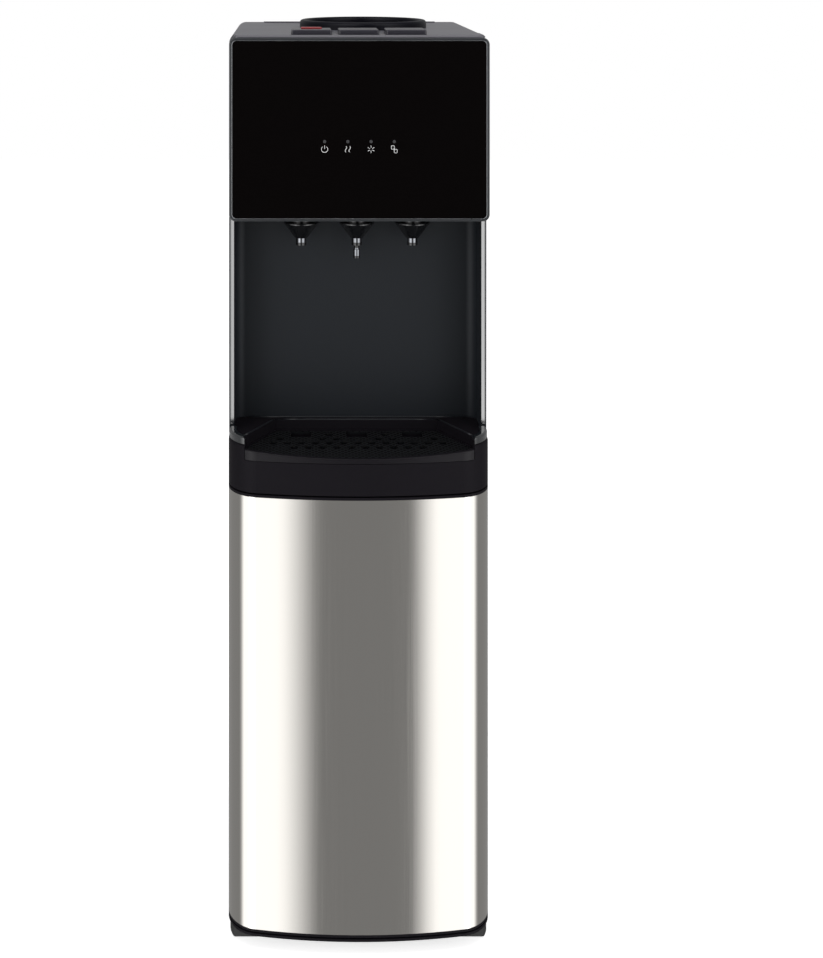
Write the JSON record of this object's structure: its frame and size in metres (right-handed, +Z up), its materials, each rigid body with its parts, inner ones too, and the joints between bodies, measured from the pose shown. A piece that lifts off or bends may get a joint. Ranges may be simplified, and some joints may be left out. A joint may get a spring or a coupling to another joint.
{
  "type": "water dispenser",
  "caption": "Floor-standing top-load water dispenser with a bowed steel storage door, a dispensing niche with a drip tray, push buttons and a bottle seat.",
  "frame": {"origin": "on the floor, under the middle of the whole object's box", "axes": "+Z up, -Y towards the user in front, +X to the user's right"},
  "size_m": [0.31, 0.36, 1.08],
  "materials": {
    "black_abs": "moulded satin ABS",
    "gloss_black_acrylic": "polished acrylic panel",
    "gloss_black_nozzle": "polished ABS",
    "brushed_stainless": "upright brushed stainless steel",
    "painted_sheet": "powder coated sheet steel",
    "grey_liner": "formed grey plastic",
    "black_rubber": "moulded rubber",
    "tank_steel": "plain stainless steel",
    "white_foam": "moulded bead foam",
    "white_plastic": "food grade polypropylene",
    "copper": "drawn copper",
    "black_enamel": "stoved black enamel",
    "silicone_tube": "translucent silicone",
    "indicator_lens": "diffusing lens",
    "circuit_board": "solder resist",
    "red_plastic": "moulded red plastic",
    "green_plastic": "moulded green plastic"
  },
  "bodies": {
    "cabinet": {"drip_housing": "black_abs", "niche_liner": "black_abs", "tap_plate": "black_abs", "fascia_frame": "black_abs", "top_cover": "black_abs", "base_pan": "black_abs", "terminal_cover": "black_abs", "switch_bezel": "black_abs", "drain_outlet": "black_abs", "cord_gland": "black_abs", "hot_tap": "black_abs", "room_tap": "black_abs", "cold_tap": "black_abs", "condenser_clips": "black_abs", "front_panel": "gloss_black_acrylic", "hot_nozzle": "gloss_black_nozzle", "room_nozzle": "gloss_black_nozzle", "cold_nozzle": "gloss_black_nozzle", "left_side_panel": "painted_sheet", "right_side_panel": "painted_sheet", "rear_panel": "painted_sheet", "cabinet_frame": "painted_sheet", "cabinet_partition": "painted_sheet", "cabinet_ceiling": "painted_sheet", "tank_shelf": "painted_sheet", "hot_tank_bracket": "painted_sheet", "feet": "black_rubber", "compressor_grommets": "black_rubber", "cold_tank": "tank_steel", "hot_tank": "tank_steel", "hinge_pins": "tank_steel", "thermostats": "tank_steel", "panel_screws": "tank_steel", "cold_tank_foam": "white_foam", "cold_tank_lid": "white_plastic", "evaporator_jacket": "copper", "refrigerant_pipes": "copper", "filter_drier": "copper", "compressor": "black_enamel", "condenser_tube": "black_enamel", "condenser_wires": "black_enamel", "water_tubes": "silicone_tube", "indicator_lights": "indicator_lens", "indicator_board": "circuit_board"},
    "door": {"door_skin": "brushed_stainless", "door_liner": "grey_liner", "door_top_cap": "black_abs", "door_bottom_cap": "black_abs", "door_gasket": "black_rubber"},
    "tray": {"drip_tray": "black_abs"},
    "grille": {"drip_grille": "black_abs"},
    "hot_press": {"hot_button": "black_abs"},
    "room_press": {"room_button": "black_abs"},
    "cold_press": {"cold_button": "black_abs"},
    "lock_slider": {"child_lock": "red_plastic"},
    "seat": {"bottle_seat": "black_abs", "bottle_probe": "white_plastic"},
    "heating_switch": {"heating_rocker": "red_plastic"},
    "cooling_switch": {"cooling_rocker": "green_plastic"},
    "drain_plug": {"drain_cap": "black_abs"}
  },
  "joints": [
    {"name": "door_swing", "type": "hinge", "parent": "cabinet", "child": "door", "pos_m": [0.147, -0.12802, 0.2775], "axis": [0, 0, 1], "range_deg": [0, 110]},
    {"name": "tray_lift", "type": "slide", "parent": "cabinet", "child": "tray", "axis": [0, 0, 1], "range_m": [0, 0.06]},
    {"name": "grille_lift", "type": "slide", "parent": "tray", "child": "grille", "axis": [0, 0, 1], "range_m": [0, 0.04]},
    {"name": "hot_button_press", "type": "slide", "parent": "cabinet", "child": "hot_press", "axis": [0, 0, -1], "range_m": [0, 0.005], "stiffness_N_per_m": 400, "springref_m": -0.002},
    {"name": "room_button_press", "type": "slide", "parent": "cabinet", "child": "room_press", "axis": [0, 0, -1], "range_m": [0, 0.005], "stiffness_N_per_m": 400, "springref_m": -0.002},
    {"name": "cold_button_press", "type": "slide", "parent": "cabinet", "child": "cold_press", "axis": [0, 0, -1], "range_m": [0, 0.005], "stiffness_N_per_m": 400, "springref_m": -0.002},
    {"name": "child_lock_slide", "type": "slide", "parent": "hot_press", "child": "lock_slider", "axis": [0, -1, 0], "range_m": [0, 0.006]},
    {"name": "seat_lift", "type": "slide", "parent": "cabinet", "child": "seat", "axis": [0, 0, 1], "range_m": [0, 0.1]},
    {"name": "heating_switch_tilt", "type": "hinge", "parent": "cabinet", "child": "heating_switch", "pos_m": [0.0807, 0.154, 0.95], "axis": [1, 0, 0], "range_deg": [-10, 10]},
    {"name": "cooling_switch_tilt", "type": "hinge", "parent": "cabinet", "child": "cooling_switch", "pos_m": [0.1087, 0.154, 0.95], "axis": [1, 0, 0], "range_deg": [-10, 10]},
    {"name": "drain_cap_turn", "type": "hinge", "parent": "cabinet", "child": "drain_plug", "pos_m": [-0.1277, 0.167, 0.6], "axis": [0, 1, 0], "continuous": true}
  ]
}
